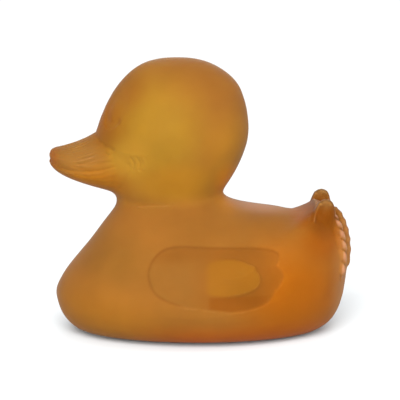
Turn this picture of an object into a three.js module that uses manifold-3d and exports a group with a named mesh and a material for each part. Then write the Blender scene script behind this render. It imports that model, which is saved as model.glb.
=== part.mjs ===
// Bath duck moulded in one piece, in millimetres.
// +Z is up, the bill points towards -X and the two sides mirror across Y = 0.
// The base stands on Z = 0 and the origin is under the middle of the whole length.

import * as THREE from 'three';
import { ParametricGeometry } from 'three/addons/geometries/ParametricGeometry.js';
import { mergeVertices } from 'three/addons/utils/BufferGeometryUtils.js';
import Module from 'manifold-3d';

// Head, as an egg around its middle
const HEAD_LENGTH = 50;
const HEAD_WIDTH = 48.4;
const HEAD_HEIGHT = 49;
const HEAD_X = -8.7;
const HEAD_Z = 66.5;
const CROWN_SHIFT = 1;

// Neck, the narrowest ring between head and body
const NECK_FRONT_X = -26.4;
const NECK_FRONT_Z = 44.2;
const NECK_BACK_X = 7.9;
const NECK_BACK_Z = 46.2;
const NECK_WIDTH = 35.6;
const NECK_SIDE_Z = 45;
const NECK_ROUNDING = 1.6;

// Body
const BREAST_X = -47.1;
const BREAST_Z = 13.6;
const SADDLE_X = 27;
const SADDLE_Z = 41.2;
const REAR_X = 49.2;
const REAR_Z = 29;
const BODY_WIDTH = 72;
const BODY_SIDE_X = 1;
const BODY_SIDE_Z = 17.5;
const BACK_FLATNESS = 2;

// Bulges and dips of the body's outline, off the straight lines between its main points
const BACK_DIP = 1.6;
const RIM_DIP = 2.4;
const REAR_SHOULDER = 1.9;
const REAR_SHOULDER_RISE = 1.3;
const RUMP_BULGE = 5.2;
const THROAT_DIP = 0.4;
const BREAST_BULGE = 1.4;
const KEEL_BULGE = 3.8;

// Flat base
const BASE_FRONT_X = -37;
const BASE_BACK_X = 38.8;
const BASE_WIDTH = 41;

// Tail: upturned rim, two side lobes and three rows of feather ends
const TAIL_X = 40;
const TAIL_Z = 43.4;
const LOBE_SPREAD = 12;
const LOBE_X = 42;
const LOBE_RISE = 2.2;
const LOBE_LENGTH = 10;
const LOBE_WIDTH = 8.6;
const LOBE_HEIGHT = 14;
const LOBE_LEAN = THREE.MathUtils.degToRad(6);
const LOBE_SPLAY = THREE.MathUtils.degToRad(17);
const FEATHERS = 7;
const PLUME_TOP_SPREAD = 8.5;
const PLUME_LOW_SPREAD = 11.6;
const SIDE_PLUME_WIDTH = 4;
const MIDDLE_PLUME_WIDTH = 8;
const PLUME_THICKNESS = 3.2;
const SIDE_PLUME_LIFT = 1.8;
const MIDDLE_PLUME_LIFT = 1.1;
const PLUME_END_ROUNDNESS = 0.28;
const FEATHER_GROOVE = 0.5;
const FEATHER_SLANT = 0.08;
const SIDE_PLUME_STATION = 13.5;
const MIDDLE_PLUME_STATION = 13.8;
const PLUME_LOW_STATION = 15.5;

// Bill, measured from the middle of the head
const BILL_REACH = 40.4;
const BILL_TIP_DROP = 8.1;
const BILL_TIP_DEPTH = 4;
const BILL_TIP_RISE = 5.3;
const BILL_RIDGE_DIP = 1.3;
const BILL_WIDTH = 33.6;
const BILL_CORNER_REACH = 13;
const BILL_CORNER_DROP = 7;
const BILL_BRIDGE_REACH = 19;
const BILL_BRIDGE_RISE = 3.8;
const BILL_SAG = 5.8;
const BILL_CHIN_SAG = 6.2;
const BILL_SIDE_FULLNESS = 0.92;
const BILL_TIP_FULLNESS = 0.6;
const THROAT_RISE = 1;
const MOUTH_GAP = 0.7;
const MOUTH_LENS = 1;

// Wings, sunk into the flanks with a raised feather layer, measured from the widest point of the flank
const WING_LENGTH = 42.8;
const WING_HEIGHT = 19.9;
const WING_AHEAD = 16.5;
const WING_BELOW = 4.3;
const WING_DEPTH = 0.5;
const WING_LAYER_HEIGHT = 0.05;
const WING_LAYER_START = 0.36;
const WING_LAYER_FULL = 0.72;

// Eyes
const EYE_WIDTH = 11.5;
const EYE_HEIGHT = 13.5;
const EYE_DEPTH = 0.5;
const PUPIL_SHARE = 0.55;
const EYE_STATION = 3.45;
const EYE_TURN = THREE.MathUtils.degToRad(149);

// Small round mould mark on the breast
const MARK_DIAMETER = 4.8;
const MARK_HEIGHT = 0.35;
const MARK_STATION = 14;

// Fineness of the mesh
const ROWS_PER_STATION = 2;
const COLUMNS = 68;
const LOBE_SEGMENTS = 20;
const LOBE_ROWS = 8;
const FEATHER_STEPS = 4;
const PLUME_COLUMNS = 12;
const BILL_ROWS = 14;
const BILL_COLUMNS = 24;
const CURVE_POINTS = 3;
const OVAL_POINTS = 9;

// Reach of the oval cutters into and out of the skin
const CUT_REACH = 4;

const wasm = await Module();
wasm.setup();

// Points of the outlines

const point = (x, y, z) => new THREE.Vector3(x, y, z);

// A point of the head's mid-plane outline, in shares of half its length and height.
const headMid = (ahead, up) => point(HEAD_X + ahead * HEAD_LENGTH / 2, 0, HEAD_Z + up * HEAD_HEIGHT / 2);

// A point of the head's side outline, in shares of half its width and height.
const headSide = (out, up) => point(HEAD_X, out * HEAD_WIDTH / 2, HEAD_Z + up * HEAD_HEIGHT / 2);

// A point at a share of the way between two points, lifted off the line in the mid-plane or the cross-plane.
const between = (from, to, share, out = 0, up = 0) =>
  point(
    from.x + (to.x - from.x) * share + out,
    from.y + (to.y - from.y) * share,
    from.z + (to.z - from.z) * share + up,
  );

const crown = point(HEAD_X + CROWN_SHIFT, 0, HEAD_Z + HEAD_HEIGHT / 2);
const neckFront = point(NECK_FRONT_X, 0, NECK_FRONT_Z);
const neckBack = point(NECK_BACK_X, 0, NECK_BACK_Z);
const breast = point(BREAST_X, 0, BREAST_Z);
const saddle = point(SADDLE_X, 0, SADDLE_Z);
const tailRim = point(TAIL_X, 0, TAIL_Z);
const rear = point(REAR_X, 0, REAR_Z);
const baseFront = point(BASE_FRONT_X, 0, 0);
const baseBack = point(BASE_BACK_X, 0, 0);
const neckSide = point(HEAD_X, NECK_WIDTH / 2, NECK_SIDE_Z);
const bodySide = point(BODY_SIDE_X, BODY_WIDTH / 2, BODY_SIDE_Z);
const baseSide = point(BODY_SIDE_X, BASE_WIDTH / 2, 0);

// The three outlines run from under the crown down to the base edge, station by station.
const backStations = [
  headMid(0.43, 0.958),
  headMid(0.718, 0.808),
  headMid(0.914, 0.592),
  headMid(1.026, 0.1),
  headMid(0.997, -0.17),
  headMid(0.855, -0.52),
  between(headMid(0.855, -0.52), neckBack, 0.72),
  neckBack,
  point(NECK_BACK_X + NECK_ROUNDING, 0, NECK_BACK_Z - NECK_ROUNDING),
  between(neckBack, saddle, 0.4, 0, -BACK_DIP),
  saddle,
  between(saddle, tailRim, 0.55, 0, -RIM_DIP),
  tailRim,
  between(tailRim, rear, 0.34, REAR_SHOULDER, REAR_SHOULDER_RISE),
  rear,
  between(rear, baseBack, 0.55, RUMP_BULGE),
  between(rear, baseBack, 0.86, 0.9 * RUMP_BULGE),
  baseBack,
];
const frontStations = [
  headMid(-0.34, 0.935),
  headMid(-0.578, 0.77),
  headMid(-0.771, 0.525),
  headMid(-0.932, 0.18),
  headMid(-1, -0.12),
  headMid(-0.92, -0.5),
  headMid(-0.79, -0.76),
  neckFront,
  point(NECK_FRONT_X - NECK_ROUNDING / 2, 0, NECK_FRONT_Z - 1.5 * NECK_ROUNDING),
  between(neckFront, breast, 0.24, THROAT_DIP),
  between(neckFront, breast, 0.46),
  between(neckFront, breast, 0.66, -0.7 * BREAST_BULGE),
  between(neckFront, breast, 0.83, -BREAST_BULGE),
  breast,
  between(breast, baseFront, 0.3, -0.66 * KEEL_BULGE),
  between(breast, baseFront, 0.62, -KEEL_BULGE),
  between(breast, baseFront, 0.88, -0.76 * KEEL_BULGE),
  baseFront,
];
const sideStations = [
  headSide(0.4, 0.92),
  headSide(0.7, 0.72),
  headSide(0.9, 0.44),
  headSide(1, 0.05),
  headSide(0.98, -0.22),
  headSide(0.88, -0.53),
  headSide(0.78, -0.73),
  neckSide,
  point(HEAD_X, neckSide.y + NECK_ROUNDING * 0.6, NECK_SIDE_Z - NECK_ROUNDING),
];
const flank = [
  [0.26, 0.19],
  [0.53, 0.36],
  [0.77, 0.57],
  [0.925, 0.78],
  [1, 1],
];
for (const [out, down] of flank) {
  sideStations.push(
    point(
      HEAD_X + (BODY_SIDE_X - HEAD_X) * down,
      neckSide.y + (bodySide.y - neckSide.y) * out,
      NECK_SIDE_Z + (BODY_SIDE_Z - NECK_SIDE_Z) * down,
    ),
  );
}
const belly = [
  [0.03, 0.34],
  [0.25, 0.69],
  [0.58, 0.9],
  [1, 1],
];
for (const [inward, down] of belly) {
  sideStations.push(
    point(
      BODY_SIDE_X,
      bodySide.y + (baseSide.y - bodySide.y) * inward,
      BODY_SIDE_Z * (1 - down),
    ),
  );
}
const STATIONS = backStations.length;

// One curve goes from the front base edge over the crown to the back base edge, one from side to side.
const mirrored = sideStations.map((p) => point(p.x, -p.y, p.z));
const midOutline = new THREE.CatmullRomCurve3(
  [...frontStations.toReversed(), crown, ...backStations], false, 'centripetal',
);
const crossOutline = new THREE.CatmullRomCurve3(
  [...mirrored.toReversed(), crown, ...sideStations], false, 'centripetal',
);

// The skin of head, neck and body

// Point at a turn around the upright axis (0 is the back) and a fall from crown (0) to base edge (1).
function skinPoint(turn, fall) {
  const back = midOutline.getPoint(0.5 + fall / 2);
  const front = midOutline.getPoint(0.5 - fall / 2);
  const side = crossOutline.getPoint(0.5 + fall / 2);
  const ahead = Math.cos(turn);
  const end = ahead > 0 ? back : front;
  return point(
    side.x + (end.x - side.x) * Math.abs(ahead),
    side.y * Math.sin(turn),
    side.z + (end.z - side.z) * (1 - Math.abs(Math.sin(turn)) ** BACK_FLATNESS),
  );
}

// Directions of the skin at a point: around, down and outwards.
function skinFrame(turn, fall) {
  const step = 1e-3;
  const low = Math.min(fall + step, 1);
  const around = skinPoint(turn + step, fall).sub(skinPoint(turn - step, fall)).normalize();
  const down = skinPoint(turn, low).sub(skinPoint(turn, low - 2 * step)).normalize();
  const out = new THREE.Vector3().crossVectors(down, around).normalize();
  return { at: skinPoint(turn, fall), around, down, out };
}

// The closed skin, moved outwards by a distance that may change from place to place.
function skin(offset = () => 0) {
  const rows = STATIONS * ROWS_PER_STATION;
  const placed = (u, v, target) => {
    const row = v * (rows + 1);
    const turn = (1 - u) * 2 * Math.PI;
    if (row > rows) {
      target.set(BODY_SIDE_X, 0, 0);
    } else if (row <= 0) {
      target.copy(crown);
      target.z += offset(crown);
    } else {
      const { at, out } = skinFrame(turn, Math.min(row / rows, 1));
      target.copy(at).addScaledVector(out, offset(at));
      target.z = Math.max(target.z, 0);
    }
    return target;
  };
  return solidFrom(new ParametricGeometry(placed, COLUMNS, rows + 1));
}

// Turns a closed geometry into a solid that can be joined and cut.
function solidFrom(geometry) {
  const bare = geometry.clone();
  bare.deleteAttribute('normal');
  bare.deleteAttribute('uv');
  const merged = mergeVertices(bare, 1e-4);
  const corners = merged.index.array;
  const triVerts = [];
  for (let i = 0; i < corners.length; i += 3) {
    const [a, b, c] = corners.slice(i, i + 3);
    if (a !== b && b !== c && c !== a) {
      triVerts.push(a, b, c);
    }
  }
  const vertProperties = merged.attributes.position.array;
  const mesh = new wasm.Mesh({ numProp: 3, vertProperties, triVerts: new Uint32Array(triVerts) });
  return new wasm.Manifold(mesh);
}

// Bill

// One half of the bill: from the mouth edge over a ridge in the mid-plane, closed inside by a thin lens.
// The lens bulges down under the upper half and up over the lower half, which sets the way round.
function mandible(ridge, edge, lens) {
  const placed = (u, v, target) => {
    const row = v * (BILL_ROWS + 1) - 1;
    const along = Math.max(row, 0) / BILL_ROWS;
    const top = ridge.getPoint(along);
    const side = edge.getPoint(along);
    const angle = Math.sign(lens) * u * 2 * Math.PI;
    const rise = Math.sin(angle);
    if (row < 0) {
      return target.set(side.x, 0, side.z);
    }
    const end = rise > 0 ? top : point(side.x, 0, side.z + lens);
    return target.set(
      side.x + (end.x - side.x) * Math.abs(rise),
      side.y * Math.cos(angle),
      side.z + (end.z - side.z) * Math.abs(rise),
    );
  };
  return new ParametricGeometry(placed, BILL_COLUMNS, BILL_ROWS + 1);
}

const billTip = point(HEAD_X - BILL_REACH, 0, HEAD_Z - BILL_TIP_DROP);
const billCorner = point(HEAD_X - BILL_CORNER_REACH, BILL_WIDTH / 2, HEAD_Z - BILL_CORNER_DROP);
const billBridge = point(HEAD_X - BILL_BRIDGE_REACH, 0, HEAD_Z + BILL_BRIDGE_RISE);
const throat = between(neckFront, neckBack, 0.08, 0, THROAT_RISE);

// Edge of the bill seen from above and from the side, raised or lowered to leave the mouth line.
function mouthEdge(lift) {
  const sagging = between(billCorner, billTip, 0.4, 0, lift);
  const rounding = between(billCorner, billTip, 1, 0, lift);
  sagging.y = BILL_SIDE_FULLNESS * billCorner.y;
  sagging.z = billTip.z - BILL_SAG + lift;
  rounding.y = BILL_TIP_FULLNESS * billCorner.y;
  rounding.z = billTip.z - BILL_SAG * 0.65 + lift;
  return new THREE.CubicBezierCurve3(
    between(billCorner, billTip, 0, 0, lift), sagging, rounding, between(billCorner, billTip, 1, 0, lift),
  );
}
const upperRidge = new THREE.CubicBezierCurve3(
  billBridge,
  point(billBridge.x + (billTip.x - billBridge.x) * 0.83, 0, billTip.z - BILL_RIDGE_DIP),
  point(billTip.x, 0, billTip.z + BILL_TIP_RISE),
  point(billTip.x, 0, billTip.z + BILL_TIP_DEPTH * 0.4),
);
const lowerRidge = new THREE.CubicBezierCurve3(
  throat,
  point(throat.x + (billTip.x - throat.x) * 0.54, 0, throat.z + BILL_TIP_DEPTH * 0.95),
  point(billTip.x, 0, billTip.z - BILL_CHIN_SAG),
  point(billTip.x, 0, billTip.z - MOUTH_GAP),
);
const upperBill = solidFrom(mandible(upperRidge, mouthEdge(MOUTH_GAP / 2), -MOUTH_LENS));
const lowerBill = solidFrom(mandible(lowerRidge, mouthEdge(-MOUTH_GAP / 2), MOUTH_LENS));

// Tail

// A lobe's half profile from its round top down to its wide foot, in shares of half its length and
// of its height.
const lobeProfile = new THREE.SplineCurve([
  new THREE.Vector2(0, 0),
  new THREE.Vector2(0.34, -0.04),
  new THREE.Vector2(0.55, -0.16),
  new THREE.Vector2(0.78, -0.45),
  new THREE.Vector2(1, -1),
]);

// A rounded cone with its top at a point, leaning back and to one side.
function lobe(top, side) {
  const outline = [...lobeProfile.getPoints(LOBE_ROWS), new THREE.Vector2(0, -1)];
  const cone = new THREE.LatheGeometry(outline.toReversed(), LOBE_SEGMENTS);
  cone.rotateX(Math.PI / 2);
  cone.scale(LOBE_LENGTH / 2, LOBE_WIDTH / 2, LOBE_HEIGHT);
  cone.rotateY(LOBE_LEAN);
  cone.rotateX(-side * LOBE_SPLAY);
  cone.translate(top.x, top.y, top.z);
  return solidFrom(cone);
}

// A plume: a flat rope of feather ends down the rear, from a station near the rim to the low one, and
// from one turn away from the middle to another.
// It stands off the skin most near its top, and the grooves between its feathers slant across it.
function plume(topStation, topTurn, lowTurn, width, lift, slant) {
  const rows = FEATHERS * FEATHER_STEPS;
  const placed = (u, v, target) => {
    const angle = u * 2 * Math.PI;
    const along = v + slant * Math.cos(angle) * Math.sin(Math.PI * v);
    const station = THREE.MathUtils.lerp(topStation, PLUME_LOW_STATION, along);
    const turn = THREE.MathUtils.lerp(topTurn, lowTurn, along);
    const { at, down, out } = skinFrame(turn, station / STATIONS);
    const across = new THREE.Vector3().crossVectors(out, down);
    const closing = (4 * v * (1 - v)) ** PLUME_END_ROUNDNESS;
    const groove = FEATHER_GROOVE * (1 - Math.abs(Math.sin(Math.PI * v * FEATHERS)));
    target.copy(at).addScaledVector(out, lift * (1 - v) * closing);
    target.addScaledVector(across, Math.cos(angle) * closing * (width / 2 - groove));
    target.addScaledVector(out, Math.sin(angle) * closing * (PLUME_THICKNESS / 2 - groove));
    return target;
  };
  return solidFrom(new ParametricGeometry(placed, PLUME_COLUMNS, rows));
}

const topTurn = Math.asin(2 * PLUME_TOP_SPREAD / BODY_WIDTH);
const lowTurn = Math.asin(2 * PLUME_LOW_SPREAD / BODY_WIDTH);
const tail = [];
for (const side of [-1, 1]) {
  tail.push(lobe(point(LOBE_X, side * LOBE_SPREAD, TAIL_Z + LOBE_RISE), side));
  const slant = -side * FEATHER_SLANT;
  tail.push(
    plume(SIDE_PLUME_STATION, side * topTurn, side * lowTurn, SIDE_PLUME_WIDTH, SIDE_PLUME_LIFT, slant),
  );
}
tail.push(plume(MIDDLE_PLUME_STATION, 0, 0, MIDDLE_PLUME_WIDTH, MIDDLE_PLUME_LIFT, 0));

// Wings

const wingFront = BODY_SIDE_X - WING_AHEAD;
const wingBottom = BODY_SIDE_Z - WING_BELOW;

// A point of the wing's outline, in shares of its length from the front and its height from below.
const wingPoint = (along, up) => new THREE.Vector2(
  wingFront + along * WING_LENGTH, wingBottom + up * WING_HEIGHT,
);

// A closed outline through runs of points; the runs meet at corners.
function outlineThrough(runs) {
  const shape = new THREE.Shape();
  const first = runs[0][0];
  shape.moveTo(first.x, first.y);
  for (const run of runs) {
    shape.splineThru(run.slice(run === runs[0] ? 1 : 0));
  }
  return shape;
}

const wingOutline = outlineThrough([
  [
    wingPoint(0.617, 0), wingPoint(0.27, 0.1), wingPoint(0.1, 0.22), wingPoint(0.03, 0.36),
    wingPoint(0, 0.57), wingPoint(0.026, 0.77), wingPoint(0.1, 0.935), wingPoint(0.217, 1),
    wingPoint(0.42, 0.985), wingPoint(0.886, 0.935), wingPoint(0.967, 0.8), wingPoint(0.946, 0.7),
  ],
  [wingPoint(0.988, 0.61), wingPoint(1, 0.5), wingPoint(0.958, 0.34), wingPoint(0.932, 0.327)],
  [wingPoint(0.93, 0.28), wingPoint(0.876, 0.126), wingPoint(0.764, 0.04), wingPoint(0.617, 0)],
]);
const layerOutline = outlineThrough([
  [
    wingPoint(WING_LAYER_START, 0.52), wingPoint(0.4, 0.7), wingPoint(0.49, 0.8), wingPoint(0.64, 0.814),
    wingPoint(0.78, 0.714), wingPoint(0.794, 0.653),
  ],
  [
    wingPoint(0.822, 0.58), wingPoint(0.827, 0.48), wingPoint(0.8, 0.37), wingPoint(0.71, 0.286),
    wingPoint(0.563, 0.246), wingPoint(0.44, 0.28), wingPoint(0.38, 0.38), wingPoint(WING_LAYER_START, 0.52),
  ],
]);

// The outline pushed through one flank, as a solid to cut with.
function flankPrism(outline, side) {
  const reach = BODY_WIDTH / 2;
  const start = BODY_WIDTH / 4;
  const settings = { depth: reach, bevelEnabled: false, curveSegments: CURVE_POINTS };
  const prism = new THREE.ExtrudeGeometry(outline, settings);
  prism.rotateX(Math.PI / 2);
  prism.translate(0, side > 0 ? start + reach : -start, 0);
  return solidFrom(prism);
}

// How far the raised feather layer stands out of the skin: it starts level with the sunk floor at its front
// and stands out most at its tip, both given in shares of the wing's length.
function layerRise(at) {
  const share = (at.x - wingFront) / WING_LENGTH;
  const risen = THREE.MathUtils.smoothstep(share, WING_LAYER_START, WING_LAYER_FULL);
  return THREE.MathUtils.lerp(-WING_DEPTH, WING_LAYER_HEIGHT, risen);
}

// Eyes and mould mark

// An oval pushed along the skin's outward direction, as a solid to cut with.
function ovalPrism(turn, station, width, height, depth) {
  const { at, out } = skinFrame(turn, station / STATIONS);
  const level = new THREE.Vector3().crossVectors(point(0, 0, 1), out).normalize();
  const up = new THREE.Vector3().crossVectors(out, level);
  const oval = new THREE.Shape().absellipse(0, 0, width / 2, height / 2, 0, 2 * Math.PI);
  const settings = { depth: 2 * depth, bevelEnabled: false, curveSegments: OVAL_POINTS };
  const prism = new THREE.ExtrudeGeometry(oval, settings);
  prism.translate(0, 0, -depth);
  prism.applyMatrix4(new THREE.Matrix4().makeBasis(level, up, out).setPosition(at));
  return solidFrom(prism);
}

// Joining and cutting

const sink = (solid, prism, depthSkin) => solid.subtract(prism.subtract(depthSkin));
const raise = (solid, prism, heightSkin) => solid.add(prism.intersect(heightSkin));

let duck = skin();
const wingFloor = skin(() => -WING_DEPTH);
const wingLayer = skin(layerRise);
const eyeFloor = skin(() => -EYE_DEPTH);
const pupilSkin = skin(() => -EYE_DEPTH / 4);
const markSkin = skin(() => MARK_HEIGHT);
for (const side of [-1, 1]) {
  duck = sink(duck, flankPrism(wingOutline, side), wingFloor);
  duck = raise(duck, flankPrism(layerOutline, side), wingLayer);
  duck = sink(duck, ovalPrism(side * EYE_TURN, EYE_STATION, EYE_WIDTH, EYE_HEIGHT, CUT_REACH), eyeFloor);
  const pupil = ovalPrism(
    side * EYE_TURN, EYE_STATION, EYE_WIDTH * PUPIL_SHARE, EYE_HEIGHT * PUPIL_SHARE, CUT_REACH,
  );
  duck = raise(duck, pupil, pupilSkin);
}
duck = raise(duck, ovalPrism(Math.PI, MARK_STATION, MARK_DIAMETER, MARK_DIAMETER, CUT_REACH), markSkin);
for (const piece of [upperBill, lowerBill, ...tail]) {
  duck = duck.add(piece);
}

// Mesh

const made = duck.getMesh();
const geometry = new THREE.BufferGeometry();
geometry.setAttribute('position', new THREE.BufferAttribute(made.vertProperties, made.numProp));
geometry.setIndex(new THREE.BufferAttribute(made.triVerts, 1));
geometry.computeBoundingBox();
const middle = geometry.boundingBox.getCenter(new THREE.Vector3());
geometry.translate(-middle.x, 0, -geometry.boundingBox.min.z);
geometry.computeVertexNormals();

const rubber = new THREE.MeshStandardMaterial({ color: 0xb8812e, roughness: 0.6, metalness: 0 });
const mesh = new THREE.Mesh(geometry, rubber);
mesh.name = 'duck';

const group = new THREE.Group();
group.name = 'bath_duck';
group.add(mesh);

export default group;
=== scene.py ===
import math

import bmesh
import bpy
import numpy as np
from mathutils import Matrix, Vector
from mathutils.bvhtree import BVHTree


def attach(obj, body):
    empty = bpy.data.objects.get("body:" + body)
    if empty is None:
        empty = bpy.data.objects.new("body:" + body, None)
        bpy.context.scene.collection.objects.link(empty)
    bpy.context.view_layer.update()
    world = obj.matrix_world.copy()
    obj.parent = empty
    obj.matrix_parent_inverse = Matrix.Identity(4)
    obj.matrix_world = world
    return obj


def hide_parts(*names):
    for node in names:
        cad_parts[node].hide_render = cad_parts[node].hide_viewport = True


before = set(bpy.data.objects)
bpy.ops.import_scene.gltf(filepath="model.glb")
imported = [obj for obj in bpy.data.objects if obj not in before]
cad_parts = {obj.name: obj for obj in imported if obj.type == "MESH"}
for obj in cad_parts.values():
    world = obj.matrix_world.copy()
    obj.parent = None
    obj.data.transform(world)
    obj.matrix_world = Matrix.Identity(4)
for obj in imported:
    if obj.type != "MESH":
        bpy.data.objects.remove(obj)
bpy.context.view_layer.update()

MM = 0.001

# Camera, fitted to the photograph, in millimetres and degrees
CAMERA_AIM = (-0.22, 0.0, 43.6)
CAMERA_DISTANCE = 600.0
CAMERA_ELEVATION = 9.0
CAMERA_LENS = 163.1
CAMERA_NEAREST = 10.0
SENSOR_WIDTH = 36.0

# Fineness of the skin in millimetres, share of a zone from which its faces are split,
# and passes of smoothing
VOXEL = 0.8
REFINE_FROM = 0.5
DETAIL_PASSES = 3
PLAIN_PASSES = 16
JAW_PASSES = 80
FINE_PASSES = 2
CAVITY_PASSES = 12

# Edges softened by more than these distances go back to the solid, in millimetres; creases by a share
SHARP_FROM = 0.05
SHARP_FULL = 0.16
CREASE_SHARE = 0.3

# Zones of the skin with soft sides; each side has an axis, and where the zone is none and full along it,
# in millimetres, with y counted from the middle of the duck
BILL_ZONE = (("x", -15.0, -18.0), ("z", 47.0, 50.0), ("z", 74.0, 70.0))
EYE_ZONE = (("x", -18.0, -21.0), ("z", 66.0, 70.0), ("z", 83.0, 81.0))
NECK_ZONE = (("x", -7.0, -9.0), ("x", -25.0, -23.0), ("z", 41.2, 42.7), ("z", 47.2, 45.7))
JAW_ZONE = (("x", -30.0, -26.0), ("x", -12.0, -16.0), ("z", 63.5, 58.0), ("z", 45.0, 48.0), ("y", 5.0, 9.0))
TIP_ZONE = (("x", -46.0, -48.5), ("z", 58.0, 59.5))

# How much of the eyes' relief is kept
EYE_SHARE = 0.07

# Wing zone, an oval on the flanks; its fade is in shares of the oval
WING_MIDDLE = (4.9, 23.1)
WING_HALF = (24.5, 13.0)
WING_FADE = (1.15, 1.0)
WING_SIDE = (18.0, 22.0)

# Tail zone, wider at the lobes than below them
TAIL_FRONT = (33.0, 36.0)
TAIL_LOW = (15.0, 18.0)
TAIL_HALF = 12.0
TAIL_FADE = 3.0
LOBE_FOOT = (37.0, 39.0)
LOBE_SPREAD = 6.0

# Lines drawn on both sides of the skin: depth (a ridge where negative) and half width in millimetres,
# then points (x, z) as seen from the side
LINES = (
    (0.2, 0.4, ((-41.7, 57.3), (-37.0, 57.5), (-32.4, 58.0), (-27.5, 58.8))),
    (0.18, 0.4, ((-42.1, 54.0), (-37.0, 53.4), (-33.1, 53.7), (-29.8, 54.3))),
    (0.3, 0.7, ((-34.9, 66.6), (-34.0, 65.7), (-31.9, 63.9), (-29.5, 62.8), (-27.2, 61.7))),
    (0.15, 0.7, ((-23.5, 58.9), (-22.6, 56.3), (-23.7, 53.4), (-25.4, 50.4), (-27.2, 48.4))),
    (0.3, 0.35, ((-31.0, 61.6), (-30.1, 61.1), (-29.3, 60.6))),
    (0.22, 0.4, ((-22.5, 60.6), (-21.3, 58.4), (-21.6, 56.0))),
    (0.22, 0.4, ((-20.6, 61.1), (-19.3, 58.5), (-19.7, 55.8))),
    (-0.12, 0.4, ((-18.6, 61.2), (-17.7, 58.6), (-18.4, 56.2))),
    (-0.4, 0.4, ((-20.8, 43.5), (-16.3, 44.1), (-9.5, 44.5))),
    (-0.2, 1.0, ((6.7, 23.5), (12.4, 24.0), (14.6, 25.0), (15.5, 25.7), (17.4, 25.9))),
    (-0.5, 0.4, ((39.3, 44.8), (38.3, 43.2), (37.2, 40.6), (36.4, 38.2))),
    (-0.2, 0.35, ((39.0, 43.4), (39.6, 44.5), (40.6, 45.0), (41.8, 44.5), (42.4, 43.4))),
)

# Steps between two points of a line, taper at its ends in shares of its run, and margin in half widths
LINE_STEPS = 10
LINE_TAPER = 0.12
LINE_MARGIN = 3.0

# Mouth edge and upper ridge of the bill, each as four control points in millimetres,
# and how many points are taken along the mouth edge
MOUTH_EDGE = ((-22.7, 16.8, 59.5), (-33.7, 15.5, 52.6), (-50.1, 10.1, 54.6), (-50.1, 0.0, 58.4))
UPPER_RIDGE = ((-28.7, 0.0, 70.3), (-46.5, 0.0, 57.1), (-50.1, 0.0, 63.7), (-50.1, 0.0, 60.0))
MOUTH_STEPS = 40

# Mouth line: depth, width and notch at the tip in millimetres, start and runs in shares of its length,
# and the share of its depth that fades away
MOUTH_DEPTH = 0.3
MOUTH_WIDTH = 0.3
MOUTH_START = 0.1
MOUTH_FADE = 0.8
MOUTH_FADE_RUN = (0.35, 0.75)
MOUTH_NOTCH = 0.6
MOUTH_NOTCH_RUN = (0.8, 0.9)

# Fine lines along the upper bill: height, rear end and clearance over the mouth are in millimetres;
# root and tip are none and full at shares of the bill's length, and the rise at angles over the mouth
STRIA_COUNT = 26
STRIA_HEIGHT = 0.24
STRIA_REAR = -24.0
STRIA_CLEARANCE = 1.0
STRIA_ROOT = (0.16, 0.26)
STRIA_TIP = (0.6, 0.3)
STRIA_RISE = (0.2, 0.45)
STRIA_UNEVENNESS = 0.4
STRIA_UNEVEN_ACROSS = 11.0
STRIA_UNEVEN_ALONG = 9.0
STRIA_SWAY = 1.5
STRIA_SWAYS = 7.0

# How a point's place on the upper bill is found: first guess of its rise from mouth to ridge, steps,
# and the smallest half width of the bill in millimetres
PLACE_START = 0.5
PLACE_ROUNDS = 8
PLACE_HALVINGS = 24
SMALLEST_HALF = 0.1

# Middle of the rope of feather ends on each side of the tail, a point at each end of a feather;
# width, reach to the side, top of the painted highlights and groove are in millimetres
ROPE = (
    (41.8, 9.3, 42.8), (43.4, 9.9, 41.2), (44.9, 10.5, 39.1), (46.3, 11.0, 35.9),
    (47.2, 11.3, 32.3), (47.6, 11.5, 28.6), (47.5, 11.5, 24.3), (47.0, 11.5, 19.6),
)
ROPE_WIDTH = 4.0
ROPE_REACH = 23.0
ROPE_SLANT = 0.5
ROPE_TOP = (43.5, 41.5)
FEATHER_GROOVE = 0.35
GROOVE_SHARE = 0.6

# Outlines of the wing and of its raised feather layer, in shares of the wing's length and height;
# the runs meet at corners
WING_FRONT = -16.5
WING_BOTTOM = 13.2
WING_LENGTH = 42.8
WING_HEIGHT = 19.9
WING_RUNS = (
    (
        (0.617, 0.0), (0.27, 0.1), (0.1, 0.22), (0.03, 0.36), (0.0, 0.57), (0.026, 0.77), (0.1, 0.935),
        (0.217, 1.0), (0.42, 0.985), (0.886, 0.935), (0.967, 0.8), (0.946, 0.7),
    ),
    ((0.946, 0.7), (0.988, 0.61), (1.0, 0.5), (0.958, 0.34), (0.932, 0.327)),
    ((0.932, 0.327), (0.93, 0.28), (0.876, 0.126), (0.764, 0.04), (0.617, 0.0)),
)
LAYER_RUNS = (
    ((0.36, 0.52), (0.4, 0.7), (0.49, 0.8), (0.64, 0.814), (0.78, 0.714), (0.794, 0.653)),
    (
        (0.794, 0.653), (0.822, 0.58), (0.827, 0.48), (0.8, 0.37), (0.71, 0.286), (0.563, 0.246),
        (0.44, 0.28), (0.38, 0.38), (0.36, 0.52),
    ),
)

# Where the wing's tones are none and full, in millimetres: its painted shade in the hollow, dark bands and
# edge lines, and its feather layer; with the strength of its bands and the shares that are lost towards the
# stern
FLANK_SIDE = (16.0, 20.0)
WING_RIM = (-0.3, 0.5)
STERN_RUN = (17.0, 25.0)
STERN_WING_LOSS = 0.6
STERN_BAND_LOSS = 0.25
UPPER_BAND = (26.5, 30.5)
UPPER_BAND_SHARE = 0.42
REAR_BAND = (-6.0, 6.0)
REAR_BAND_SHARE = 0.6
LOWER_BAND_FRONT = (1.0, 3.5)
LOWER_BAND_TOP = (19.5, 17.5)
EDGE_WIDTH = 0.42
SHADED_FRONT = (-3.0, -10.0)
SHADED_TOP = (28.0, 31.0)
LIT_REAR = (4.0, 12.0)
LIT_LOW = (21.0, 17.0)
LAYER_FRONT = (0.5, 3.5)
LAYER_RIM = (-0.6, 1.0)
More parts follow.
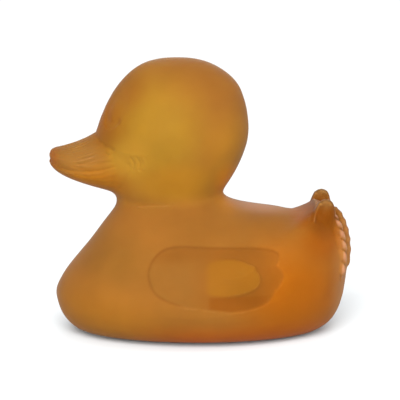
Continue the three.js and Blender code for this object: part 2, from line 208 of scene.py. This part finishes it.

# Where the painted light on the underside of the bill is none and full: along x in millimetres, and by how
# far the skin faces up
UNDER_RUN = (-22.0, -32.0)
UNDER_FACING = (-0.4, -1.0)

# Colour of the plain skin, and soft patches of colour laid over it in this order: name, colour, middle in
# millimetres, weight of each axis, and the distances in millimetres where the patch is full and none;
# many patches are painted light, glow, shade or sheen, as marked at each
BODY_COLOUR = (0.124, 0.0475, 0.0072)
PATCHES = (
    # painted glow: yellow light shining through the thin rubber of the head
    ("head", (0.141, 0.07, 0.0068), (-17.0, 0.0, 67.0), (1.0, 0.0, 1.0), 8.0, 27.0),
    # painted shade on the front of the head, which faces away from the light
    ("face", (0.118, 0.039, 0.0035), (-34.0, 0.0, 74.0), (1.0, 0.0, 0.7), 3.0, 15.0),
    ("bill", (0.128, 0.056, 0.011), (-39.0, 0.0, 59.5), (0.7, 0.0, 1.0), 2.0, 8.0),
    ("nail", (0.13, 0.042, 0.007), (-49.0, 0.0, 58.0), (1.0, 0.0, 0.6), 0.5, 4.0),
    ("cheek", (0.166, 0.081, 0.0085), (-22.0, 0.0, 60.0), (0.9, 0.0, 1.0), 2.0, 9.0),
    # painted light on the chin and the shaded underside of the bill
    ("chin", (0.165, 0.06, 0.005), (-34.0, 0.0, 50.0), (0.6, 0.0, 1.0), 2.0, 10.0),
    # painted shade: a small dark mark where the eye's fine relief lies in shade
    ("eye", (0.112, 0.041, 0.004), (-26.0, 0.0, 71.7), (1.0, 0.0, 0.5), 0.1, 0.9),
    ("neck", (0.166, 0.072, 0.0062), (-6.0, 0.0, 52.0), (0.45, 0.0, 1.0), 2.0, 9.5),
    # painted light on the back of the head, where the side lamp is weak
    ("back of the head", (0.162, 0.068, 0.0071), (10.5, 0.0, 58.0), (1.0, 0.0, 0.6), 4.0, 13.0),
    # painted light and glow under the back of the head, where the nape lies in shade
    ("nape", (0.255, 0.084, 0.003), (9.5, 0.0, 50.0), (0.9, 0.0, 0.65), 0.5, 6.5),
    # painted shade on the brow, which turns away from the light
    ("brow", (0.114, 0.043, 0.005), (-25.0, 0.0, 83.0), (1.0, 0.0, 0.9), 2.0, 11.0),
    # painted shade on the breast, which faces away from the light
    ("breast", (0.108, 0.0435, 0.0066), (-26.0, 0.0, 27.0), (0.8, 0.0, 1.0), 2.0, 13.0),
    # painted glow: orange light shining through the thick rubber of the rear flank
    ("flank", (0.157, 0.0437, 0.0021), (31.0, 0.0, 16.0), (1.0, 0.0, 1.0), 4.0, 28.0),
    # painted light from the floor's bounce on the lower body, in a deeper orange
    ("base", (0.22, 0.042, 0.0003), (5.0, 0.0, -6.0), (0.2, 0.0, 1.0), 5.0, 17.0),
    # painted light on the lower front of the body, where it lies in shade
    ("keel", (0.15, 0.057, 0.006), (-32.0, 0.0, 6.0), (0.6, 0.0, 1.0), 1.0, 18.0),
    ("croup", (0.13, 0.037, 0.0035), (33.5, 0.0, 40.5), (0.8, 0.0, 1.0), 1.0, 4.8),
    ("rump", (0.134, 0.036, 0.0021), (40.0, 0.0, 33.0), (0.8, 0.0, 1.0), 2.0, 9.0),
    ("tail", (0.088, 0.0235, 0.0016), (40.0, 0.0, 41.0), (1.0, 0.0, 0.9), 2.0, 8.5),
    ("lobes", (0.08, 0.036, 0.008), (40.0, 0.0, 47.5), (0.5, 0.0, 1.0), 1.0, 6.5),
    # painted sheen along the front edge of the breast
    ("breast edge", (0.165, 0.074, 0.025), (-51.0, 0.0, 20.0), (1.0, 0.0, 0.2), 0.5, 5.0),
    # painted sheen and painted side light along the rear edge
    ("rear edge", (0.197, 0.086, 0.026), (51.0, 0.0, 10.0), (1.0, 0.0, 0.2), 1.0, 10.5),
    # painted sheen along the top of the back
    ("back", (0.17, 0.075, 0.033), (20.0, 0.0, 43.0), (0.35, 0.35, 1.0), 1.0, 5.6),
)

# Colours laid over the patches in this order, by a value kept on the skin: its name, the colour, and the
# values where the colour is none and full; most values never reach the full one; all but the feather layer
# are painted light or shade
# Painted shade: the colour of the wing's dark bands
BAND_SHADE_COLOUR = (0.1, 0.0275, 0.0022)
# Painted shade: the colour of creases and shaded edges
CREASE_SHADE_COLOUR = (0.0644, 0.0167, 0.00095)
LEVELS = (
    # painted light on the underside of the bill
    ("under", (0.21, 0.074, 0.0042), 0.0, 1.2),
    # painted shade in the wing's hollow
    ("wing", (0.105, 0.042, 0.0065), 0.0, 1.6),
    # painted shade in the dark bands of the wing
    ("band", BAND_SHADE_COLOUR, 0.0, 1.3),
    ("layer", (0.124, 0.048, 0.0036), 0.0, 1.5),
    # painted shade in creases
    ("cavity", CREASE_SHADE_COLOUR, 0.05, 0.6),
    # painted highlight on ridges
    ("cavity", (0.212, 0.112, 0.038), -0.06, -0.8),
    # painted shade along the wing's shaded edges, and the bands' painted shade along its lit lower edges
    ("edge", CREASE_SHADE_COLOUR, 0.0, -2.5),
    ("edge", BAND_SHADE_COLOUR, 0.0, 3.0),
    # painted highlights on the rope's feather ends
    ("rope", (0.25, 0.12, 0.07), 0.3, 1.3),
)

# Other looks of the rubber
RUBBER = {
    "Specular IOR Level": 0.006,
    "Sheen Weight": 0.04,
    "Sheen Roughness": 0.4,
    "Sheen Tint": (1.0, 0.85, 0.75, 1.0),
    "Subsurface Weight": 0.2,
    "Subsurface Radius": (1.0, 0.4, 0.1),
    "Subsurface Scale": 0.003,
}

# Soft clouds in the rubber's brightness and gloss, and a fine grain; scales are per metre
CLOUD_SCALE = 70.0
CLOUD_DETAIL = 4.0
CLOUD_RANGE = (0.3, 0.7)
BRIGHTNESS = (0.92, 1.08)
ROUGHNESS = (0.4, 0.6)
GRAIN_SCALE = 900.0
GRAIN_DETAIL = 2.0
GRAIN_STRENGTH = 0.06
GRAIN_HEIGHT = 0.3

# White paper floor, its half width in metres
FLOOR_HALF = 0.28
PAPER_COLOUR = (0.507, 0.522, 0.529)
PAPER_ROUGHNESS = 0.9

# Light: strength of the white surroundings, and square soft lamps with name, place, aim and size in metres,
# and power in watts
SKY_STRENGTH = 1.05
LAMPS = (
    ("key_light", (-0.08, -0.95, 0.62), (0.0, 0.0, 0.03), 0.7, 29.0),
    ("low_light", (-0.16, -0.84, 0.13), (-0.01, 0.0, 0.03), 0.24, 7.0),
    ("back_light", (0.1, 0.9, 0.5), (0.0, 0.0, 0.04), 0.6, 3.0),
    ("side_light", (0.85, 0.12, 0.25), (0.0, 0.0, 0.04), 0.5, 3.2),
)


def ramp(value, none, full):
    """Smooth step from 0 at one value to 1 at another, up or down."""
    t = np.clip((value - none) / (full - none), 0.0, 1.0)
    return t * t * (3 - 2 * t)


def bezier(points, share):
    """Points of a cubic curve at shares of its run."""
    a, b, c, d = (np.array(p) for p in points)
    t = np.asarray(share)[..., None]
    return a * (1 - t) ** 3 + 3 * b * t * (1 - t) ** 2 + 3 * c * t * t * (1 - t) + d * t ** 3


def mouth_curve(start):
    """The mouth edge from a share of its run to the tip, as points (x, z)."""
    return bezier(MOUTH_EDGE, np.linspace(start, 1.0, MOUTH_STEPS))[:, [0, 2]]


def smooth_line(points):
    """Points along a smooth curve through the given ones."""
    p = np.array(points)
    p = np.vstack((2 * p[0] - p[1], p, 2 * p[-1] - p[-2]))
    t = np.linspace(0.0, 1.0, LINE_STEPS, endpoint=False)[:, None]
    runs = []
    for a, b, c, d in zip(p, p[1:], p[2:], p[3:]):
        bend = (2 * a - 5 * b + 4 * c - d) * t ** 2 + (3 * b - a - 3 * c + d) * t ** 3
        runs.append(b + ((c - a) * t + bend) / 2)
    return np.vstack((*runs, p[-2]))


def line_distance(places, curve):
    """Distance from each place to a curve, and the share of its run where it is nearest."""
    nearest = np.full(len(places), np.inf)
    share = np.zeros(len(places))
    for i, (a, b) in enumerate(zip(curve, curve[1:])):
        span = b - a
        if not span.any():
            continue
        t = np.clip((places - a) @ span / (span @ span), 0.0, 1.0)
        gap = np.linalg.norm(places - a - t[:, None] * span, axis=1)
        closer = gap < nearest
        nearest[closer] = gap[closer]
        share[closer] = (i + t[closer]) / (len(curve) - 1)
    return nearest, share


def coords(mesh):
    """Vertex places in millimetres."""
    flat = np.empty(len(mesh.vertices) * 3, dtype=np.float32)
    mesh.vertices.foreach_get("co", flat)
    return flat.reshape(-1, 3).astype(np.float64) / MM


def place(mesh, points):
    """Sets the vertex places, given in millimetres."""
    mesh.vertices.foreach_set("co", (points * MM).astype(np.float32).ravel())
    mesh.update()


def normals(mesh):
    """Outward directions at the vertices."""
    flat = np.empty(len(mesh.vertices) * 3, dtype=np.float32)
    mesh.vertex_normals.foreach_get("vector", flat)
    return flat.reshape(-1, 3).astype(np.float64)


def keep(mesh, name, values):
    """Stores a value for each vertex, for the material."""
    mesh.attributes.new(name, "FLOAT", "POINT").data.foreach_set("value", values.astype(np.float32))


def smoothed(mesh, points, passes):
    """Points drawn halfway towards the mean of their neighbours, pass by pass."""
    flat = np.empty(len(mesh.edges) * 2, dtype=np.int32)
    mesh.edges.foreach_get("vertices", flat)
    a, b = flat.reshape(-1, 2).T
    count = len(points)
    degree = np.bincount(a, minlength=count) + np.bincount(b, minlength=count)
    for _ in range(passes):
        total = np.empty_like(points)
        for axis in range(3):
            column = points[:, axis]
            total[:, axis] = np.bincount(a, column[b], count) + np.bincount(b, column[a], count)
        points = (points + total / degree[:, None]) / 2
    return points


# Zones of the skin, 1 inside and 0 outside


def box_zone(p, sides):
    """A zone with soft sides along the axes."""
    along = {"x": p[:, 0], "y": np.abs(p[:, 1]), "z": p[:, 2]}
    share = np.ones(len(p))
    for axis, none, full in sides:
        share *= ramp(along[axis], none, full)
    return share


def wing_zone(p):
    """The wings and their edges."""
    x, y, z = p.T
    reach = np.hypot((x - WING_MIDDLE[0]) / WING_HALF[0], (z - WING_MIDDLE[1]) / WING_HALF[1])
    return ramp(reach, *WING_FADE) * ramp(np.abs(y), *WING_SIDE)


def tail_zone(p):
    """The tail's lobes and ropes."""
    x, y, z = p.T
    half = TAIL_HALF + LOBE_SPREAD * ramp(z, *LOBE_FOOT)
    return ramp(x, *TAIL_FRONT) * ramp(z, *TAIL_LOW) * ramp(half - np.abs(y), -TAIL_FADE, 0.0)


def detail_zones(p):
    """Shares of the zones of fine detail: bill, eyes, neck, wings and tail."""
    eyes = EYE_SHARE * box_zone(p, EYE_ZONE)
    return np.stack((box_zone(p, BILL_ZONE), eyes, box_zone(p, NECK_ZONE), wing_zone(p), tail_zone(p)))


def detail_share(p):
    """How much fine detail each place has, from 0 to 1."""
    return np.clip(detail_zones(p).sum(axis=0), 0.0, 1.0)


# Heights of the fine detail over the skin, in millimetres


def line_height(p):
    """The drawn lines."""
    height = np.zeros(len(p))
    places = p[:, [0, 2]]
    for depth, width, points in LINES:
        curve = smooth_line(points)
        margin = LINE_MARGIN * width
        low, high = curve.min(axis=0) - margin, curve.max(axis=0) + margin
        near = np.all((places > low) & (places < high), axis=1)
        gap, share = line_distance(places[near], curve)
        taper = ramp(share, 0.0, LINE_TAPER) * ramp(1 - share, 0.0, LINE_TAPER)
        height[near] -= depth * taper * np.exp(-(gap / width) ** 2)
    return height


def mouth_height(p):
    """The mouth line, all round the bill."""
    height = np.zeros(len(p))
    near = p[:, 0] < MOUTH_EDGE[0][0]
    gap, share = line_distance(p[near][:, [0, 2]], mouth_curve(MOUTH_START))
    fade = ramp(share, 0.0, LINE_TAPER) * (1 - MOUTH_FADE * ramp(share, *MOUTH_FADE_RUN))
    depth = MOUTH_DEPTH * fade + MOUTH_NOTCH * ramp(share, *MOUTH_NOTCH_RUN)
    height[near] = -depth * np.exp(-(gap / MOUTH_WIDTH) ** 2)
    return height


def bill_place(p):
    """Share along the upper bill from root to tip, and angle from mouth edge to ridge, of each point."""
    rise = np.full(len(p), PLACE_START)
    for _ in range(PLACE_ROUNDS):
        low, high = np.zeros(len(p)), np.ones(len(p))
        for _ in range(PLACE_HALVINGS):
            share = (low + high) / 2
            edge, ridge = bezier(MOUTH_EDGE, share), bezier(UPPER_RIDGE, share)
            ahead = edge[:, 0] + (ridge[:, 0] - edge[:, 0]) * rise < p[:, 0]
            high = np.where(ahead, share, high)
            low = np.where(ahead, low, share)
        edge = bezier(MOUTH_EDGE, share)
        across = np.clip(np.abs(p[:, 1]) / np.maximum(edge[:, 1], SMALLEST_HALF), 0.0, 1.0)
        rise = np.sqrt(1 - across ** 2)
    return share, np.arcsin(rise)


def stria_height(p):
    """Fine lines along the upper bill."""
    height = np.zeros(len(p))
    curve = mouth_curve(0.0)
    mouth = np.interp(-p[:, 0], -curve[:, 0], curve[:, 1])
    near = (p[:, 0] < STRIA_REAR) & (p[:, 2] > mouth + STRIA_CLEARANCE)
    share, angle = bill_place(p[near])
    fade = ramp(share, *STRIA_ROOT) * ramp(share, *STRIA_TIP) * ramp(angle, *STRIA_RISE)
    waves = np.sin(STRIA_UNEVEN_ACROSS * angle + STRIA_UNEVEN_ALONG * share)
    uneven = 1 - STRIA_UNEVENNESS + STRIA_UNEVENNESS * waves
    turn = 2 * STRIA_COUNT * angle + STRIA_SWAY * np.sin(STRIA_SWAYS * angle)
    height[near] = STRIA_HEIGHT * fade * uneven * np.cos(turn)
    return height


def rope_place(p):
    """Distance from the tail's ropes, and how far each place is from the feathers' grooves, from 0 to 1."""
    folded = p * (1, 0, 1) + np.abs(p) * (0, 1, 0)
    curve = smooth_line(ROPE)
    gap = np.full(len(p), np.inf)
    fullness = np.zeros(len(p))
    near = (p[:, 0] > TAIL_FRONT[0]) & (np.abs(p[:, 1]) < ROPE_REACH)
    gap[near], share = line_distance(folded[near], curve)
    middle = np.interp(share, np.linspace(0, 1, len(curve)), curve[:, 1])
    across = (folded[near][:, 1] - middle) / (ROPE_WIDTH / 2)
    feathers = (len(ROPE) - 1) * share + ROPE_SLANT * across
    fullness[near] = np.abs(np.sin(np.pi * feathers))
    return gap, fullness


def rope_height(p):
    """Grooves between the feather ends of the ropes."""
    gap, fullness = rope_place(p)
    groove = 1 - ramp(fullness, 0.0, GROOVE_SHARE)
    return -FEATHER_GROOVE * groove * ramp(gap, ROPE_WIDTH / 2, ROPE_WIDTH / 3)


# The skin


def even_mesh(source):
    """Closed mesh of even fineness over a CAD solid, as a new object."""
    piece = bpy.data.objects.new("duck_skin", source.data.copy())
    bpy.context.collection.objects.link(piece)
    remesh = piece.modifiers.new("even mesh", "REMESH")
    remesh.mode = "VOXEL"
    remesh.voxel_size = VOXEL * MM
    graph = bpy.context.evaluated_depsgraph_get()
    mesh = bpy.data.meshes.new_from_object(piece.evaluated_get(graph))
    piece.modifiers.clear()
    piece.data = mesh
    mesh.materials.clear()
    return piece


def soften(mesh):
    """Smooths the skin: lightly in the zones of detail, more elsewhere, and most at the jaw."""
    points = coords(mesh)
    detail = (detail_share(points) * (1 - box_zone(points, TIP_ZONE)))[:, None]
    jaw = box_zone(points, JAW_ZONE)[:, None]
    light = smoothed(mesh, points, DETAIL_PASSES)
    heavy = smoothed(mesh, points, PLAIN_PASSES)
    soft = smoothed(mesh, points, JAW_PASSES)
    place(mesh, (light * detail + heavy * (1 - detail)) * (1 - jaw) + soft * jaw)


def refine(mesh):
    """Splits the faces of the zones of detail into four."""
    inside = detail_zones(coords(mesh)).max(axis=0) > REFINE_FROM
    work = bmesh.new()
    work.from_mesh(mesh)
    chosen = []
    for edge in work.edges:
        if inside[edge.verts[0].index] and inside[edge.verts[1].index]:
            chosen.append(edge)
    bmesh.ops.subdivide_edges(work, edges=chosen, cuts=1, use_grid_fill=True)
    work.to_mesh(mesh)
    work.free()
    mesh.update()


def sharpened(mesh, solid):
    """Points of the zones that smoothing took off the solid's edges go back to it, less in creases."""
    points = coords(mesh)
    outward = normals(mesh)
    corners = coords(solid) * MM
    faces = [tuple(polygon.vertices) for polygon in solid.polygons]
    surface = BVHTree.FromPolygons(corners.tolist(), faces)
    zone = detail_share(points) * (1 - box_zone(points, JAW_ZONE)) * (1 - box_zone(points, TIP_ZONE))
    moved = points.copy()
    for i in np.flatnonzero(zone > 0.0):
        target = np.array(surface.find_nearest(points[i] * MM)[0]) / MM
        step = target - points[i]
        share = zone[i] * ramp(np.linalg.norm(step), SHARP_FROM, SHARP_FULL)
        moved[i] += step * share * (1.0 if step @ outward[i] > 0.0 else CREASE_SHARE)
    return moved


def depth_inside(p, runs):
    """Distance inside an outline on the flanks (outside where negative), in millimetres."""
    corner = np.array((WING_FRONT, WING_BOTTOM))
    size = np.array((WING_LENGTH, WING_HEIGHT))
    curve = np.vstack([corner + size * smooth_line(run) for run in runs])
    places = p[:, [0, 2]]
    gap, _ = line_distance(places, curve)
    crossings = np.zeros(len(p), dtype=int)
    for a, b in zip(curve, curve[1:]):
        spans = (a[1] > places[:, 1]) != (b[1] > places[:, 1])
        reach = a[0] + (places[:, 1] - a[1]) / np.where(b[1] == a[1], 1.0, b[1] - a[1]) * (b[0] - a[0])
        crossings += spans & (places[:, 0] < reach)
    return np.where(crossings % 2 == 1, gap, -gap)


def mark_wing(mesh, points):
    """Keeps the tones of the wing: painted shade in its hollow, dark bands and edge lines, and its feather
    layer.
    """
    x, y, z = points.T
    flank = ramp(np.abs(y), *FLANK_SIDE)
    depth = depth_inside(points, WING_RUNS)
    inside = flank * ramp(depth, *WING_RIM)
    stern = ramp(x, *STERN_RUN)
    keep(mesh, "wing", inside * (1 - STERN_WING_LOSS * stern))
    upper = UPPER_BAND_SHARE * ramp(z, *UPPER_BAND)
    rear = REAR_BAND_SHARE * ramp(x, *REAR_BAND)
    lower = ramp(x, *LOWER_BAND_FRONT) * ramp(z, *LOWER_BAND_TOP)
    darkest = np.maximum.reduce((upper, rear, lower))
    keep(mesh, "band", inside * darkest * (1 - STERN_BAND_LOSS * stern))
    shaded = np.maximum(ramp(x, *SHADED_FRONT), ramp(z, *SHADED_TOP))
    lit = ramp(x, *LIT_REAR) * ramp(z, *LIT_LOW)
    keep(mesh, "edge", flank * np.exp(-(depth / EDGE_WIDTH) ** 2) * (lit - shaded))
    layer = ramp(depth_inside(points, LAYER_RUNS), *LAYER_RIM)
    keep(mesh, "layer", flank * ramp(x, *LAYER_FRONT) * layer)


def mark_ropes(mesh, points):
    """Keeps the feather ends of the ropes, where highlights are painted."""
    gap, fullness = rope_place(points)
    near = ramp(gap, ROPE_WIDTH / 2, ROPE_WIDTH / 4)
    keep(mesh, "rope", fullness * near * ramp(points[:, 2], *ROPE_TOP))


def mark_bill(mesh, points):
    """Keeps the underside of the bill, where light is painted."""
    below = ramp(points[:, 0], *UNDER_RUN) * ramp(normals(mesh)[:, 2], *UNDER_FACING)
    keep(mesh, "under", box_zone(points, BILL_ZONE) * below)


def mark_cavities(mesh, points):
    """Keeps how deep each place of the zones of detail lies in a crease (on a ridge where negative), for
    painted shade in creases and painted highlights on ridges.
    """
    cavity = np.sum((smoothed(mesh, points, CAVITY_PASSES) - points) * normals(mesh), axis=1)
    keep(mesh, "cavity", detail_share(points) * cavity)


def build_skin(source):
    """The duck's skin: an even mesh over the solid, smoothed, with finer zones and fine detail."""
    piece = even_mesh(source)
    mesh = piece.data
    soften(mesh)
    refine(mesh)
    place(mesh, smoothed(mesh, coords(mesh), FINE_PASSES))
    place(mesh, smoothed(mesh, sharpened(mesh, source.data), FINE_PASSES))
    points = coords(mesh)
    mark_wing(mesh, points)
    mark_ropes(mesh, points)
    mark_bill(mesh, points)
    height = line_height(points) + mouth_height(points) + stria_height(points) + rope_height(points)
    points += normals(mesh) * height[:, None]
    points[:, 2] = np.maximum(points[:, 2], 0.0)
    place(mesh, points)
    mark_cavities(mesh, points)
    mesh.polygons.foreach_set("use_smooth", np.ones(len(mesh.polygons), dtype=bool))
    return piece


# Rubber

rubber = bpy.data.materials.new("amber_rubber")
rubber.use_nodes = True
tree = rubber.node_tree


def make(kind, values=None, **settings):
    """A node of the rubber with its settings, and each of its inputs linked or set."""
    made = tree.nodes.new(kind)
    for name, value in settings.items():
        setattr(made, name, value)
    for key, value in (values or {}).items():
        if isinstance(value, bpy.types.NodeSocket):
            tree.links.new(value, made.inputs[key])
        else:
            made.inputs[key].default_value = value
    return made


where = make("ShaderNodeTexCoord").outputs["Object"]


def patch(middle, weights, full, none):
    """1 within a distance of a place, fading to 0 at another, in millimetres."""
    scaled = make("ShaderNodeVectorMath", {0: where, 1: weights}, operation="MULTIPLY")
    centre = [m * w * MM for m, w in zip(middle, weights)]
    gap = make("ShaderNodeVectorMath", {0: scaled.outputs[0], 1: centre}, operation="DISTANCE")
    values = {"Value": gap.outputs["Value"], "From Min": none * MM, "From Max": full * MM}
    return make("ShaderNodeMapRange", values, interpolation_type="SMOOTHSTEP").outputs["Result"]


def level(name, none, full):
    """Share of the way of a value kept on the skin from none to full."""
    value = make("ShaderNodeAttribute", attribute_name=name).outputs["Fac"]
    values = {"Value": value, "From Min": none, "From Max": full}
    return make("ShaderNodeMapRange", values).outputs["Result"]


def tinted(under, tint, share, label):
    """A colour laid over another one by a share."""
    values = {"Factor": share, "A": under, "B": (*tint, 1.0)}
    mixed = make("ShaderNodeMix", data_type="RGBA", label=label)
    for socket in mixed.inputs:
        if not socket.enabled or socket.name not in values:
            continue
        value = values[socket.name]
        if isinstance(value, bpy.types.NodeSocket):
            tree.links.new(value, socket)
        else:
            socket.default_value = value
    return next(socket for socket in mixed.outputs if socket.enabled)


def clouded(colour, clouds):
    """A colour made a little lighter and darker by soft clouds."""
    values = {
        "Value": clouds,
        "From Min": CLOUD_RANGE[0],
        "From Max": CLOUD_RANGE[1],
        "To Min": BRIGHTNESS[0],
        "To Max": BRIGHTNESS[1],
    }
    brightness = make("ShaderNodeMapRange", values).outputs["Result"]
    return make("ShaderNodeHueSaturation", {"Color": colour, "Value": brightness}).outputs["Color"]


def noise(scale, detail):
    """Soft noise over the object."""
    return make("ShaderNodeTexNoise", {"Vector": where, "Scale": scale, "Detail": detail}).outputs["Fac"]


def finish_rubber():
    """Joins colours, clouds and grain to the rubber's shader."""
    colour = (*BODY_COLOUR, 1.0)
    for name, tint, middle, weights, full, none in PATCHES:
        colour = tinted(colour, tint, patch(middle, weights, full, none), name)
    for name, tint, none, full in LEVELS:
        colour = tinted(colour, tint, level(name, none, full), name)
    clouds = noise(CLOUD_SCALE, CLOUD_DETAIL)
    dull = make("ShaderNodeMapRange", {"Value": clouds, "To Min": ROUGHNESS[0], "To Max": ROUGHNESS[1]})
    grain = noise(GRAIN_SCALE, GRAIN_DETAIL)
    values = {"Height": grain, "Strength": GRAIN_STRENGTH, "Distance": GRAIN_HEIGHT * MM}
    relief = make("ShaderNodeBump", values)
    shader = tree.nodes["Principled BSDF"]
    for name, value in RUBBER.items():
        shader.inputs[name].default_value = value
    tree.links.new(clouded(colour, clouds), shader.inputs["Base Color"])
    tree.links.new(dull.outputs["Result"], shader.inputs["Roughness"])
    tree.links.new(relief.outputs["Normal"], shader.inputs["Normal"])


finish_rubber()
skin = build_skin(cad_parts["duck"])
skin.data.materials.append(rubber)

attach(skin, "root")
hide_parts("duck")

# Floor

floor_mesh = bpy.data.meshes.new("floor")
corners = [(x * FLOOR_HALF, y * FLOOR_HALF, 0.0) for x, y in ((-1, -1), (1, -1), (1, 1), (-1, 1))]
floor_mesh.from_pydata(corners, [], [(0, 1, 2, 3)])
floor = bpy.data.objects.new("floor", floor_mesh)
bpy.context.collection.objects.link(floor)
paper = bpy.data.materials.new("white_paper")
paper.use_nodes = True
paper_shader = paper.node_tree.nodes["Principled BSDF"]
paper_shader.inputs["Base Color"].default_value = (*PAPER_COLOUR, 1.0)
paper_shader.inputs["Roughness"].default_value = PAPER_ROUGHNESS
paper_shader.inputs["Specular IOR Level"].default_value = 0.0
floor_mesh.materials.append(paper)

# Light

scene = bpy.context.scene
scene.view_settings.view_transform = "Standard"
scene.world = bpy.data.worlds.new("studio")
scene.world.use_nodes = True
sky = scene.world.node_tree.nodes["Background"]
sky.inputs["Color"].default_value = (1.0, 1.0, 1.0, 1.0)
sky.inputs["Strength"].default_value = SKY_STRENGTH

for name, at, aim, size, power in LAMPS:
    data = bpy.data.lights.new(name, "AREA")
    data.size = size
    data.energy = power
    lamp = bpy.data.objects.new(name, data)
    lamp.location = at
    lamp.rotation_euler = (Vector(aim) - Vector(at)).to_track_quat("-Z", "Y").to_euler()
    bpy.context.collection.objects.link(lamp)

# Camera

camera_data = bpy.data.cameras.new("camera")
camera_data.lens = CAMERA_LENS
camera_data.sensor_width = SENSOR_WIDTH
camera_data.clip_start = CAMERA_NEAREST * MM
camera = bpy.data.objects.new("camera", camera_data)
tilt = math.radians(CAMERA_ELEVATION)
back = Vector((0.0, -math.cos(tilt), math.sin(tilt)))
camera.location = (Vector(CAMERA_AIM) + back * CAMERA_DISTANCE) * MM
camera.rotation_euler = (-back).to_track_quat("-Z", "Y").to_euler()
bpy.context.collection.objects.link(camera)
scene.camera = camera
